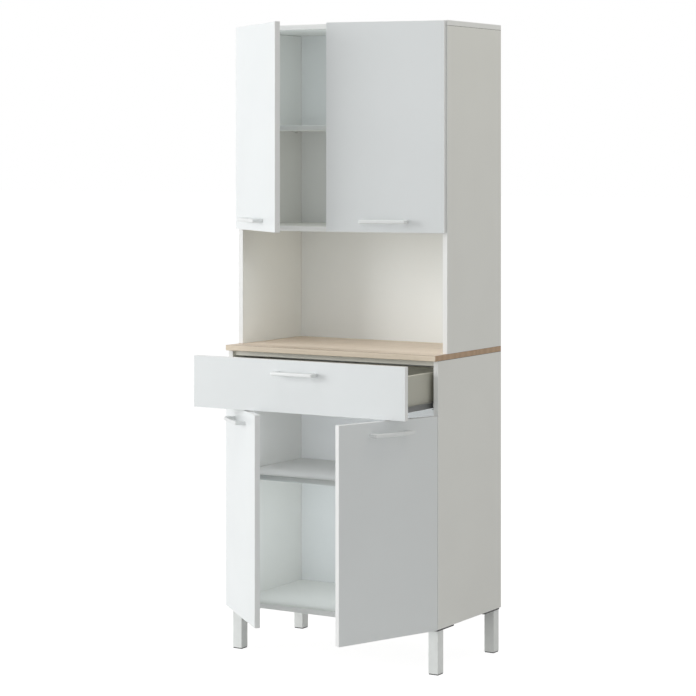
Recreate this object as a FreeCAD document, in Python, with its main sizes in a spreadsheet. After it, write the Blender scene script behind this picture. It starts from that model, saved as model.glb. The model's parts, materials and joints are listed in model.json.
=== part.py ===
import FreeCAD, Part
import os
import Sketcher
from FreeCAD import Placement, Rotation, Vector

# A free-standing microwave cabinet: a base unit with a drawer and two doors under a worktop, and a
# shallower hutch on top with an open niche and two doors. Millimetres, +Z up, front towards -Y.
# The origin is on the floor, under the middle of the base unit.
# The doors stand ajar and the drawer part way out, so the closed position is at a negative joint value.

doc = FreeCAD.newDocument("microwave_cabinet")
sheet = doc.addObject("Spreadsheet::Sheet", "Sizes")

SIZES = {
    # boards and overall sizes
    "unit_width": 716.0,            # over both side boards, and the worktop
    "base_depth": 384.0,            # side boards of the base unit
    "hutch_depth": 330.0,           # side boards of the hutch
    "board": 15.0,                  # thickness of the carcass boards
    "back_board": 3.0,              # thickness of the back panels
    "rebate_width": 7.0,            # how far a back panel reaches into a side board
    "floor_clearance": 132.0,       # floor to the underside of the base unit
    "base_height": 760.0,           # side boards of the base unit
    "worktop_thickness": 16.0,
    "worktop_overhang": 16.0,       # in front of the side boards
    "niche_height": 341.0,          # worktop to the cupboard floor above it
    "hutch_height": 952.0,          # worktop to the top of the cabinet
    "base_shelf_height": 380.0,     # underside of the shelf above the underside of the base unit
    "rail_depth": 90.0,             # front and rear rails under the worktop
    "rail_setback": 8.0,
    "rail_cam_setback": 30.0,       # cam from the rail's outer edge
    "shelf_setback": 4.0,           # loose shelves behind the front edge of the side boards
    "shelf_play": 0.5,              # beside and behind a loose shelf
    # fronts
    "front_board": 16.0,            # thickness of doors and drawer front
    "drawer_front_height": 150.0,
    "floor_reveal": 4.0,            # edge of the cupboard floor that shows below the upper doors
    "edge_reveal": 2.0,             # side boards that show beside the fronts
    "front_gap": 3.0,               # between neighbouring fronts
    "carcass_gap": 3.0,             # between the fronts and the edges of the side boards
    # how far each front stands open, in degrees and millimetres
    "upper_left_angle": 37.6,
    "upper_right_angle": 13.4,
    "lower_left_angle": 42.3,
    "lower_right_angle": 69.8,
    "drawer_travel": 164.0,
    # bow handles
    "handle_centres": 128.0,        # between the two screws
    "handle_foot": 12.0,            # width of each foot
    "handle_height": 11.0,
    "handle_reach": 32.0,           # front of the bar before the front board
    "handle_bar": 7.0,              # thickness of the bar
    "handle_corner": 5.0,           # radius of the bow's corners, seen from above
    "handle_edge": 3.0,             # rounding of the bar's long edges
    "upper_handle_inset": 31.0,     # middle of the handle above the bottom of an upper door
    "lower_handle_inset": 35.0,     # middle of the handle below the top of a lower door
    "drawer_handle_inset": 37.0,    # middle of the handle below the top of the drawer front
    "handle_screw_radius": 2.0,
    "handle_screw_head": 4.0,
    "handle_screw_face": 2.8,       # radius of the flat top of the screw's head
    "handle_screw_head_height": 2.4,
    "handle_screw_depth": 12.0,     # how far the screw goes into the foot
    # single-pivot cup hinges
    "pivot_inset": 8.8,             # pin axis behind the outer face of the side board
    "pivot_reach": 10.2,            # pin axis in front of the edge of the side board
    "hinge_inset": 90.0,            # cup centre from each end of the door
    "cup_radius": 17.5,
    "cup_depth": 11.3,
    "cup_wall": 0.8,
    "cup_edge": 3.0,                # wood left between the cup and the edge of the door
    "flange_thickness": 1.2,
    "flange_width": 24.0,
    "flange_length": 62.0,
    "flange_shift": 2.0,            # flange beyond the cup's centre, away from the edge of the door
    "cup_screw_pitch": 48.0,
    "cup_screw_radius": 1.9,
    "cup_screw_head": 3.5,
    "cup_screw_length": 11.0,
    "pin_radius": 1.2,
    "pin_length": 18.2,
    "eye_radius": 2.3,
    "arm_thickness": 2.4,
    "arm_width": 8.0,
    "arm_base_start": 24.0,         # base of the arm behind the edge of the side board
    "arm_base_length": 42.0,
    "arm_base_width": 15.0,
    "arm_base_height": 9.0,
    "arm_heel": 2.1,                # outer bend of the swan neck
    "adjuster_radius": 2.0,         # screws that set and clamp the arm
    "adjuster_head": 3.4,
    "adjuster_head_height": 1.6,
    "adjuster_inset": 9.0,          # from each end of the arm's base
    "adjuster_slot": 5.0,           # how far the arm can be slid on its clamping screw
    "plate_thickness": 2.7,
    "plate_length": 34.0,
    "plate_width": 18.0,
    "plate_wing_length": 50.0,
    "plate_wing_width": 13.0,
    "plate_line": 37.0,             # screw line behind the edge of the side board
    "plate_screw_pitch": 32.0,
    "plate_screw_radius": 1.9,
    "plate_screw_head": 3.6,
    "plate_screw_length": 11.0,
    # drawer box
    "drawer_board": 12.0,
    "drawer_side_height": 100.0,
    "drawer_back_height": 86.0,
    "drawer_drop": 32.0,            # top of the drawer side below the top of its front
    "drawer_bottom_board": 3.0,
    "drawer_groove_height": 9.0,    # groove above the lower edge of the drawer side
    "drawer_groove_depth": 6.0,
    # roller runners
    "runner_space": 12.5,           # between drawer side and side board
    "runner_sheet": 1.2,
    "runner_length": 350.0,
    "runner_start": 6.0,            # fixed runner behind the edge of the side board
    "runner_play": 0.3,
    "runner_screw_inset": 42.0,     # first and last screw from the ends of the runner
    "track_play": 1.2,              # track flange below the channel's upper flange
    "drawer_runner_height": 17.0,
    "drawer_runner_track": 7.6,     # outward flange that rides on the front roller
    "drawer_runner_seat": 11.0,     # flange under the drawer side
    "fixed_runner_height": 23.4,
    "fixed_runner_flange": 9.6,
    "roller_width": 6.6,
    "roller_chamfer": 0.7,
    "front_roller_radius": 7.2,
    "rear_roller_radius": 8.8,
    "roller_play": 0.08,            # roller to its track, and bore to its axle
    "axle_radius": 2.0,
    "front_roller_setback": 16.0,   # front roller behind the edge of the side board
    "rear_roller_setback": 14.0,    # rear roller before the end of the drawer runner
    "runner_screw_radius": 1.9,
    "runner_screw_head": 3.4,       # sunk flush, because the rear roller passes close by
    "runner_screw_length": 11.0,
    # legs
    "leg_width": 32.0,
    "leg_wall": 1.5,
    "leg_corner": 2.0,
    "leg_side_inset": 7.0,
    "leg_front_inset": 12.0,
    "leg_back_inset": 1.0,
    "leg_plate_size": 98.0,
    "leg_plate_thickness": 5.0,
    "leg_plate_inset": 3.0,
    "leg_plate_cut": 52.0,          # corner taken off the plate on its inner side
    "leg_plate_corner": 4.0,
    "leg_screw_edge": 12.0,         # plate screws, measured from the plate's outer edges
    "leg_screw_side": 22.0,
    "leg_screw_middle": 59.0,
    "leg_screw_far": 78.0,
    "spigot_length": 22.0,
    "spigot_play": 0.15,
    "glide_thickness": 3.0,
    "glide_inset": 0.8,
    "leg_screw_radius": 1.9,
    "leg_screw_head": 3.6,
    "leg_screw_length": 12.0,
    # knock-down fittings
    "cam_radius": 7.5,
    "cam_height": 11.0,
    "cam_distance": 24.0,           # cam centre from the end of its board
    "cam_slot_length": 8.0,
    "cam_slot_width": 1.2,
    "cam_slot_depth": 1.5,
    "cam_bolt_radius": 3.0,
    "cam_bolt_depth": 10.0,         # how far the bolt goes into the side board
    "dowel_radius": 4.0,
    "dowel_length": 24.0,
    "fitting_play": 0.1,
    "fitting_setback": 34.0,        # cam from the front or back end of the joint
    "dowel_spacing": 32.0,          # dowel from its cam
    "shelf_pin_radius": 2.5,
    "shelf_pin_length": 16.0,
    "shelf_pin_setback": 37.0,
    "cutter_margin": 1.0,           # how far a cutter runs past the face that it opens
}


class Size:
    """A length that knows its number and the expression that gives it from the sheet's cells."""

    def __init__(self, value, text):
        self.value = value
        self.text = text

    def __add__(self, other):
        other = size_of(other)
        return Size(self.value + other.value, f"({self.text} + {other.text})")

    def __sub__(self, other):
        other = size_of(other)
        return Size(self.value - other.value, f"({self.text} - {other.text})")

    def __mul__(self, other):
        other = size_of(other)
        return Size(self.value * other.value, f"({self.text} * {other.text})")

    def __truediv__(self, other):
        other = size_of(other)
        return Size(self.value / other.value, f"({self.text} / {other.text})")

    def __radd__(self, other):
        return size_of(other) + self

    def __rsub__(self, other):
        return size_of(other) - self

    def __rmul__(self, other):
        return size_of(other) * self

    def __neg__(self):
        return Size(-self.value, f"(0 - {self.text})")


def size_of(number):
    return number if isinstance(number, Size) else Size(float(number), repr(float(number)))


class Cells:
    """Every cell of the sheet under its alias."""


for row, (alias, number) in enumerate(SIZES.items(), start=1):
    sheet.set(f"A{row}", alias)
    sheet.set(f"B{row}", str(number))
    sheet.setAlias(f"B{row}", alias)
    setattr(Cells, alias, Size(number, f"Sizes.{alias}"))
doc.recompute()
S = Cells

# ---------------------------------------------------------------- shape helpers

X_AXIS, Y_AXIS, Z_AXIS = Vector(1, 0, 0), Vector(0, 1, 0), Vector(0, 0, 1)
TURN = {"x": Rotation(Y_AXIS, 90), "y": Rotation(X_AXIS, -90), "z": Rotation()}


def bind(item, **sizes):
    for name, size in sizes.items():
        item.setExpression(name, size_of(size).text)


def move(item, x=0, y=0, z=0):
    for letter, size in zip("xyz", (x, y, z)):
        item.setExpression(f"Placement.Base.{letter}", size_of(size).text)
    return item


def block(name, x, y, z):
    """A board or bar between two limits on each axis."""
    item = doc.addObject("Part::Box", name)
    bind(item, Length=x[1] - x[0], Width=y[1] - y[0], Height=z[1] - z[0])
    return move(item, x[0], y[0], z[0])


def rod(name, radius, length, start, axis="z"):
    """A cylinder that starts at a point and runs along +X, +Y or +Z."""
    item = doc.addObject("Part::Cylinder", name)
    bind(item, Radius=radius, Height=length)
    item.Placement = Placement(Vector(), TURN[axis])
    return move(item, *start)


def cone(name, low_radius, high_radius, length, start, axis="z"):
    item = doc.addObject("Part::Cone", name)
    bind(item, Radius1=low_radius, Radius2=high_radius, Height=length)
    item.Placement = Placement(Vector(), TURN[axis])
    return move(item, *start)


def group(name, items):
    item = doc.addObject("Part::Compound", name)
    item.Links = items
    return item


def join(name, items):
    item = doc.addObject("Part::MultiFuse", name)
    item.Shapes = items
    return item


def cut(name, base, tools):
    if not tools:
        base.Label = name
        return base
    item = doc.addObject("Part::Cut", name)
    item.Base = base
    item.Tool = tools[0] if len(tools) == 1 else group(f"{name}_cutters", tools)
    return item


def mirrored(side, low, high):
    """Limits on X for the right side (+1), or their mirror image for the left side (-1)."""
    return (low, high) if side > 0 else (-high, -low)


def rounded_box(name, x, y, z, radius):
    """An upright square bar with its four long edges rounded."""
    body = doc.addObject("PartDesign::Body", name)
    outline = sketch(body, "XY_Plane", [(x[0], y[0]), (x[1], y[0]), (x[1], y[1]), (x[0], y[1])])
    bar = pad(body, outline, z[1] - z[0])
    doc.recompute()
    fillet(body, bar, radius, lambda edge: abs(edge.tangentAt(edge.FirstParameter).z) > 0.99)
    return move(body, z=z[0])


def sketch(body, plane, corners):
    """A closed outline with straight sides, each corner tied to the sheet."""
    item = body.newObject("Sketcher::SketchObject", f"{body.Name}_outline")
    item.AttachmentSupport = [(next(o for o in body.Origin.OriginFeatures if o.Role == plane), "")]
    item.MapMode = "FlatFace"
    corners = [(size_of(a), size_of(b)) for a, b in corners]
    points = [Vector(a.value, b.value, 0) for a, b in corners]
    count = len(points)
    for i in range(count):
        item.addGeometry(Part.LineSegment(points[i], points[(i + 1) % count]), False)
    for i in range(count):
        item.addConstraint(Sketcher.Constraint("Coincident", i, 2, (i + 1) % count, 1))
    for i, corner in enumerate(corners):
        for kind, size in zip(("DistanceX", "DistanceY"), corner):
            index = item.addConstraint(Sketcher.Constraint(kind, -1, 1, i, 1, size.value))
            item.setExpression(f"Constraints[{index}]", size.text)
    return item


def pad(body, outline, length, midplane=False):
    item = body.newObject("PartDesign::Pad", f"{body.Name}_pad")
    item.Profile = outline
    item.Midplane = midplane
    item.setExpression("Length", size_of(length).text)
    return item


def fillet(body, base, radius, chosen):
    """Rounds the edges of a feature that the test picks."""
    item = body.newObject("PartDesign::Fillet", f"{body.Name}_rounding")
    names = [f"Edge{i + 1}" for i, edge in enumerate(base.Shape.Edges) if chosen(edge)]
    item.Base = (base, names)
    item.setExpression("Radius", size_of(radius).text)
    body.Tip = item
    return item


# ---------------------------------------------------------------- planes that the pieces share

HALF = S.unit_width / 2
INNER = HALF - S.board                                  # inner faces of the side boards
FRONT = -S.base_depth / 2
BACK = S.base_depth / 2
HUTCH_FRONT = BACK - S.hutch_depth
BASE_BOTTOM = S.floor_clearance
BASE_TOP = BASE_BOTTOM + S.base_height                  # underside of the worktop
WORKTOP = BASE_TOP + S.worktop_thickness
HUTCH_TOP = WORKTOP + S.hutch_height
NICHE_TOP = WORKTOP + S.niche_height                    # underside of the cupboard floor
BACK_FACE = BACK - S.back_board                         # inner face of the back panels
HUTCH_FLOOR = NICHE_TOP + S.board
HUTCH_SHELF = (HUTCH_FLOOR + HUTCH_TOP - S.board) / 2 - S.board / 2
BASE_SHELF = BASE_BOTTOM + S.base_shelf_height
LOWER_DOOR = BASE_BOTTOM
LOWER_DOOR_HEIGHT = S.base_height - S.edge_reveal - S.drawer_front_height - S.front_gap
DRAWER_FRONT = LOWER_DOOR + LOWER_DOOR_HEIGHT + S.front_gap
UPPER_DOOR = NICHE_TOP + S.floor_reveal
UPPER_DOOR_HEIGHT = HUTCH_TOP - S.edge_reveal - UPPER_DOOR
DOOR_WIDTH = (S.unit_width - 2 * S.edge_reveal - S.front_gap) / 2

nodes = {}                                              # every finished piece by its name
holes = {}                                              # cutters for each board by its name
fasteners = {}                                          # solids of each kind of fastener
MARGIN = S.cutter_margin


def finish(name, item):
    item.Label = name
    nodes[name] = item
    return item


def drill(board_name, radius, length, start, axis):
    tools = holes.setdefault(board_name, [])
    tools.append(rod(f"{board_name}_hole_{len(tools)}", radius, length, start, axis))


def add(kind, item):
    fasteners.setdefault(kind, []).append(item)


# ---------------------------------------------------------------- knock-down fittings

SIDES = {"left": -1, "right": 1}


def cam_joint(board_name, side_name, side, y, bottom):
    """A cam in the underside of a board, and its bolt in the side board."""
    count = len(fasteners.get("cam_locks", []))
    middle = bottom + S.board / 2
    centre = side * (INNER - S.cam_distance)
    reach = S.cam_distance - S.cam_radius + S.cam_bolt_depth
    start = INNER + S.cam_bolt_depth - reach if side > 0 else -(INNER + S.cam_bolt_depth)
    add("cam_locks", cut(f"cam_{count}",
                         rod(f"cam_body_{count}", S.cam_radius, S.cam_height, (centre, y, bottom)),
                         [block(f"cam_slot_{count}",
                                (centre - S.cam_slot_length / 2, centre + S.cam_slot_length / 2),
                                (y - S.cam_slot_width / 2, y + S.cam_slot_width / 2),
                                (bottom - MARGIN, bottom + S.cam_slot_depth))]))
    add("cam_bolts", rod(f"cam_bolt_{count}", S.cam_bolt_radius, reach, (start, y, middle), "x"))
    drill(board_name, S.cam_radius + S.fitting_play, S.cam_height + S.fitting_play,
          (centre, y, bottom), "z")
    for name in (board_name, side_name):
        drill(name, S.cam_bolt_radius + S.fitting_play, reach + S.fitting_play,
              (start, y, middle), "x")


def side_dowel(board_name, side_name, side, y, bottom):
    """A dowel across the joint between the end of a board and a side board."""
    count = len(fasteners.get("wood_dowels", []))
    middle = bottom + S.board / 2
    deep = S.cam_bolt_depth
    start = INNER + deep - S.dowel_length if side > 0 else -(INNER + deep)
    add("wood_dowels", rod(f"dowel_{count}", S.dowel_radius, S.dowel_length, (start, y, middle), "x"))
    for name in (board_name, side_name):
        drill(name, S.dowel_radius + S.fitting_play, S.dowel_length, (start, y, middle), "x")


def upright_dowel(lower_name, upper_name, x, y, joint, deep_up):
    """A dowel that stands across a level joint, so far into the upper board."""
    count = len(fasteners.get("wood_dowels", []))
    start = joint + deep_up - S.dowel_length
    add("wood_dowels", rod(f"dowel_{count}", S.dowel_radius, S.dowel_length, (x, y, start), "z"))
    for name in (lower_name, upper_name):
        drill(name, S.dowel_radius + S.fitting_play, S.dowel_length, (x, y, start), "z")


def shelf_pins(side_name, side, front, shelf_bottom):
    for y in (front + S.shelf_pin_setback, BACK_FACE - S.shelf_pin_setback):
        count = len(fasteners.get("shelf_pins", []))
        start = (INNER - S.shelf_pin_length / 2) if side > 0 else -(INNER + S.shelf_pin_length / 2)
        centre = shelf_bottom - S.shelf_pin_radius
        add("shelf_pins", rod(f"shelf_pin_{count}", S.shelf_pin_radius, S.shelf_pin_length,
                              (start, y, centre), "x"))
        drill(side_name, S.shelf_pin_radius + S.fitting_play, S.shelf_pin_length,
              (start, y, centre), "x")


for word, side in SIDES.items():
    base_side, hutch_side = f"base_side_{word}", f"hutch_side_{word}"
    middle_of_board = side * (HALF - S.board / 2)
    for board_name, side_name, front, bottom in (
            ("base_bottom", base_side, FRONT, BASE_BOTTOM),
            ("hutch_floor", hutch_side, HUTCH_FRONT, NICHE_TOP)):
        for end, inward in ((front + S.fitting_setback, 1), (BACK_FACE - S.fitting_setback, -1)):
            cam_joint(board_name, side_name, side, end, bottom)
            side_dowel(board_name, side_name, side, end + inward * S.dowel_spacing, bottom)
    for board_name, y in (("front_rail", FRONT + S.rail_setback + S.rail_cam_setback),
                          ("rear_rail", BACK_FACE - S.rail_cam_setback)):
        cam_joint(board_name, base_side, side, y, BASE_TOP - S.board)
        inward = 1 if board_name == "front_rail" else -1
        side_dowel(board_name, base_side, side, y + inward * S.dowel_spacing, BASE_TOP - S.board)
    for y in (HUTCH_FRONT + S.fitting_setback, BACK_FACE - S.fitting_setback):
        upright_dowel(hutch_side, "hutch_top", middle_of_board, y, HUTCH_TOP - S.board,
                      S.cam_bolt_depth)
        upright_dowel("worktop", hutch_side, middle_of_board, y, WORKTOP,
                      S.dowel_length - S.cam_bolt_depth)
    for y in (FRONT + S.dowel_spacing / 2, BACK_FACE - S.dowel_spacing * 3):
        upright_dowel(base_side, "worktop", middle_of_board, y, BASE_TOP, S.cam_bolt_depth)
    shelf_pins(base_side, side, FRONT, BASE_SHELF)
    shelf_pins(hutch_side, side, HUTCH_FRONT, HUTCH_SHELF)

# ---------------------------------------------------------------- legs


def leg(name, side, end):
    """A square tube under one corner, with its plate above, its glide below and the plate's screws."""
    outer = HALF - S.leg_side_inset
    x = mirrored(side, outer - S.leg_width, outer)
    if end == "front":
        y = (FRONT + S.leg_front_inset, FRONT + S.leg_front_inset + S.leg_width)
        plate_y = (FRONT + S.leg_plate_inset, FRONT + S.leg_plate_inset + S.leg_plate_size)
    else:
        y = (BACK - S.leg_back_inset - S.leg_width, BACK - S.leg_back_inset)
        plate_y = (BACK - S.leg_plate_inset - S.leg_plate_size, BACK - S.leg_plate_inset)
    plate_outer = HALF - S.leg_plate_inset
    plate_x = mirrored(side, plate_outer - S.leg_plate_size, plate_outer)
    plate_z = (BASE_BOTTOM - S.leg_plate_thickness, BASE_BOTTOM)
    tube_z = (S.glide_thickness, plate_z[0])
    wall = S.leg_wall
    tube = rounded_box(f"{name}_bar", x, y, tube_z, S.leg_corner)
    bore = block(f"{name}_bore", (x[0] + wall, x[1] - wall), (y[0] + wall, y[1] - wall),
                 (tube_z[0] - MARGIN, tube_z[1] + MARGIN))
    finish(name, cut(f"{name}_tube", tube, [bore]))

    play = wall + S.spigot_play
    inside_x, inside_y = (x[0] + play, x[1] - play), (y[0] + play, y[1] - play)
    edge = S.glide_inset
    sole = rounded_box(f"{name}_sole", (x[0] + edge, x[1] - edge), (y[0] + edge, y[1] - edge),
                       (size_of(0), S.glide_thickness), S.leg_corner)
    plug = block(f"{name}_plug", inside_x, inside_y,
                 (S.glide_thickness, S.glide_thickness + S.spigot_length))
    add("leg_glides", join(f"{name}_glide", [sole, plug]))

    # the plate is a square with its inner corner taken off; its spigot fills the head of the tube
    far_x, near_x = (plate_x[0], plate_x[1]) if side > 0 else (plate_x[1], plate_x[0])
    far_y, near_y = (plate_y[1], plate_y[0]) if end == "front" else (plate_y[0], plate_y[1])
    step_x = side * S.leg_plate_cut
    inward = 1 if end == "front" else -1
    step_y = -inward * S.leg_plate_cut
    body = doc.addObject("PartDesign::Body", f"{name}_plate_body")
    outline = sketch(body, "XY_Plane", [(near_x, near_y), (far_x, near_y), (far_x, far_y + step_y),
                                        (far_x + step_x, far_y), (near_x, far_y)])
    blank = pad(body, outline, S.leg_plate_thickness)
    doc.recompute()
    fillet(body, blank, S.leg_plate_corner, lambda edge: edge.BoundBox.ZLength > edge.BoundBox.XLength)
    move(body, z=plate_z[0])
    spigot = block(f"{name}_spigot", inside_x, inside_y, (plate_z[0] - S.spigot_length, plate_z[0]))
    screw_places = [(near_x - side * across, near_y + inward * along) for across, along in (
        (S.leg_screw_far, S.leg_screw_edge), (S.leg_screw_side, S.leg_screw_far),
        (S.leg_screw_middle, S.leg_screw_middle))]
    cutters = []
    head_height = S.leg_screw_head - S.leg_screw_radius
    for number, (screw_x, screw_y) in enumerate(screw_places):
        tag = f"{name}_screw_{number}"
        low = plate_z[0] + S.leg_plate_thickness / 2
        below = plate_z[0] - MARGIN
        cutters.append(rod(f"{tag}_hole", S.leg_screw_radius + S.fitting_play,
                           S.leg_plate_thickness + 2 * MARGIN, (screw_x, screw_y, below)))
        cutters.append(rod(f"{tag}_sink", S.leg_screw_head + S.fitting_play,
                           S.leg_plate_thickness / 2 + MARGIN, (screw_x, screw_y, below)))
        head = rod(f"{tag}_head", S.leg_screw_head, head_height,
                   (screw_x, screw_y, low - head_height))
        shank = rod(f"{tag}_shank", S.leg_screw_radius, S.leg_screw_length, (screw_x, screw_y, low))
        add("leg_screws", join(tag, [head, shank]))
        drill("base_bottom", S.leg_screw_radius + S.fitting_play,
              S.leg_screw_length - S.leg_plate_thickness / 2 + MARGIN,
              (screw_x, screw_y, BASE_BOTTOM - MARGIN), "z")
    add("leg_plates", cut(f"{name}_plate", join(f"{name}_plate_blank", [body, spigot]), cutters))


for word, side in SIDES.items():
    for end in ("front", "rear"):
        leg(f"leg_{end}_{word}", side, end)

# ---------------------------------------------------------------- bow handle


def handle(name, centre_x, outer_face, centre_z, thickness):
    """A flat bow: a bar on two feet, cut from one strip, and a screw through the front into each foot.
    Returns the handle, its screws and the cutters for the front board behind it."""
    foot = S.handle_foot
    half = (S.handle_centres + foot) / 2
    front = outer_face - S.handle_reach
    corners = [
        (centre_x - half, outer_face), (centre_x - half, front), (centre_x + half, front),
        (centre_x + half, outer_face), (centre_x + half - foot, outer_face),
        (centre_x + half - foot, front + S.handle_bar), (centre_x - half + foot, front + S.handle_bar),
        (centre_x - half + foot, outer_face),
    ]
    body = doc.addObject("PartDesign::Body", f"{name}_bow")
    bow = pad(body, sketch(body, "XY_Plane", corners), S.handle_height)
    doc.recompute()

    def outer_corner(edge):
        box = edge.BoundBox
        return box.ZLength > 1 and abs(box.YMin - front.value) < 0.01

    def outer_rim(edge):
        box = edge.BoundBox
        outermost = max(abs(box.XMin - centre_x.value), abs(box.XMax - centre_x.value))
        at_side = box.XLength < 0.01 and abs(outermost - half.value) < 0.01
        at_corner = box.XLength > 0.01 and box.YLength > 0.01
        at_front = abs(box.YMax - front.value) < 0.01
        return box.ZLength < 0.01 and (at_side or at_corner or at_front)

    bow = fillet(body, bow, S.handle_corner, outer_corner)
    doc.recompute()
    fillet(body, bow, S.handle_edge, outer_rim)
    move(body, z=centre_z - S.handle_height / 2)

    screws, tapped, cutters = [], [], []
    for number, x in enumerate((centre_x - half + foot / 2, centre_x + half - foot / 2)):
        tag = f"{name}_screw_{number}"
        inner_face = outer_face + thickness
        reach = thickness + S.handle_screw_depth
        shank = rod(f"{tag}_shank", S.handle_screw_radius, reach,
                    (x, outer_face - S.handle_screw_depth, centre_z), "y")
        head = cone(f"{tag}_head", S.handle_screw_head, S.handle_screw_face,
                    S.handle_screw_head_height, (x, inner_face, centre_z), "y")
        screws.append(join(tag, [shank, head]))
        tapped.append(rod(f"{tag}_thread", S.handle_screw_radius + S.fitting_play,
                          S.handle_screw_depth + S.fitting_play,
                          (x, outer_face - S.handle_screw_depth - S.fitting_play, centre_z), "y"))
        cutters.append(rod(f"{tag}_clearance", S.handle_screw_radius + S.fitting_play,
                           thickness + 2 * MARGIN, (x, outer_face - MARGIN, centre_z), "y"))
    return cut(f"{name}_handle_piece", body, tapped), group(f"{name}_screw_pair", screws), cutters


# ---------------------------------------------------------------- doors and their hinges


def hinge_arm(name, side, z):
    """The fixed half of a hinge, round the pin axis as origin: an eye on the pin, a swan neck that
    leads out of the cup and past the side board, a channel over the mounting plate, and the two
    screws in it. The front one sets the arm sideways, and the rear one clamps it in its slot."""
    half_thick = S.arm_thickness / 2
    near = S.board - S.pivot_inset + S.plate_thickness      # the leg lies on the mounting plate
    far = near + S.arm_thickness
    base_start = S.pivot_reach + S.arm_base_start
    base_end = base_start + S.arm_base_length
    corners = [(size_of(0), -half_thick), (far, -half_thick), (far, base_end), (near, base_end),
               (near, half_thick), (size_of(0), half_thick)]
    if side > 0:
        corners = [(-x, y) for x, y in corners]
    body = doc.addObject("PartDesign::Body", f"{name}_neck")
    neck = pad(body, sketch(body, "XY_Plane", corners), S.arm_width)
    doc.recompute()
    outside = abs(far.value)

    def heel(edge):
        box = edge.BoundBox
        return box.ZLength > 1 and abs(abs(box.XMin) - outside) < 0.01 and box.YMax < 0

    fillet(body, neck, S.arm_heel, heel)
    move(body, z=z - S.arm_width / 2)
    eye = rod(f"{name}_eye", S.eye_radius, S.arm_width, (0, 0, z - S.arm_width / 2))
    x = mirrored(-side, near, near + S.arm_base_height)
    wall = S.arm_thickness / 2
    shoe = block(f"{name}_shoe", x, (base_start, base_end),
                 (z - S.arm_base_width / 2, z + S.arm_base_width / 2))
    hollow = block(f"{name}_hollow", mirrored(-side, near - MARGIN, near + S.arm_base_height - wall),
                   (base_start + wall, base_end + MARGIN),
                   (z - S.arm_base_width / 2 + wall, z + S.arm_base_width / 2 - wall))
    channel = cut(f"{name}_channel", shoe, [hollow])
    cutters = [rod(f"{name}_bore", S.pin_radius + S.roller_play, S.arm_width + 2 * MARGIN,
                   (0, 0, z - S.arm_width / 2 - MARGIN))]
    roof = near + S.arm_base_height
    hole = S.adjuster_radius + S.fitting_play
    screws = []
    for tag, foot, y in ((f"{name}_setter", far, base_start + S.adjuster_inset),
                         (f"{name}_clamp", near, base_end - S.adjuster_inset)):
        shank_x, head_x = mirrored(-side, foot, roof), mirrored(-side, roof, roof + S.adjuster_head_height)
        screws.append(join(tag, [
            rod(f"{tag}_shank", S.adjuster_radius, roof - foot, (shank_x[0], y, z), "x"),
            rod(f"{tag}_head", S.adjuster_head, S.adjuster_head_height, (head_x[0], y, z), "x")]))
        hole_x = mirrored(-side, foot - MARGIN if tag.endswith("clamp") else far + MARGIN, roof + MARGIN)
        cutters.append(rod(f"{tag}_hole", hole, hole_x[1] - hole_x[0], (hole_x[0], y, z), "x"))
        if tag.endswith("clamp"):
            cutters.append(block(f"{tag}_slot", hole_x, (y - S.adjuster_slot, y), (z - hole, z + hole)))
    return [cut(f"{name}_arm", join(f"{name}_blank", [body, eye, channel]), cutters)] + screws


def mounting_plate(name, side, z):
    """The plate on the side board, round the pin axis as origin, and its two screws."""
    board_face = S.board - S.pivot_inset
    x = mirrored(-side, board_face, board_face + S.plate_thickness)
    line = S.pivot_reach + S.plate_line
    front_edge = line - S.plate_wing_width / 2
    tail = front_edge + S.plate_length - S.plate_width / 2
    wing = (S.plate_wing_length - S.plate_wing_width) / 2
    parts = [block(f"{name}_spine", x, (front_edge, tail), (z - S.plate_width / 2, z + S.plate_width / 2)),
             rod(f"{name}_tail", S.plate_width / 2, S.plate_thickness, (x[0], tail, z), "x"),
             block(f"{name}_wings", x, (front_edge, line + S.plate_wing_width / 2), (z - wing, z + wing))]
    for number, end in enumerate((-wing, wing)):
        parts.append(rod(f"{name}_wing_{number}", S.plate_wing_width / 2, S.plate_thickness,
                         (x[0], line, z + end), "x"))
    cutters, screws = [], []
    head_height = S.plate_screw_head - S.plate_screw_radius
    for number, offset in enumerate((-S.plate_screw_pitch / 2, S.plate_screw_pitch / 2)):
        tag = f"{name}_screw_{number}"
        length = S.plate_screw_length + S.plate_thickness
        shank_x = mirrored(-side, board_face - S.plate_screw_length,
                           board_face + S.plate_thickness)[0]
        start = (shank_x, line, z + offset)
        shank = rod(f"{tag}_shank", S.plate_screw_radius, length, start, "x")
        head_x = mirrored(-side, board_face + S.plate_thickness - head_height,
                          board_face + S.plate_thickness)[0]
        radii = (S.plate_screw_radius, S.plate_screw_head)
        if side > 0:
            radii = radii[::-1]
        head = cone(f"{tag}_head", *radii, head_height, (head_x, line, z + offset), "x")
        screws.append(join(tag, [shank, head]))
        wide = (radii[0] + S.fitting_play, radii[1] + S.fitting_play)
        cutters.append(cone(f"{tag}_sink", *wide, head_height, (head_x, line, z + offset), "x"))
        cutters.append(rod(f"{tag}_hole", S.plate_screw_radius + S.fitting_play, length, start, "x"))
    return cut(f"{name}_plate", join(f"{name}_plate_blank", parts), cutters), screws


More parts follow.
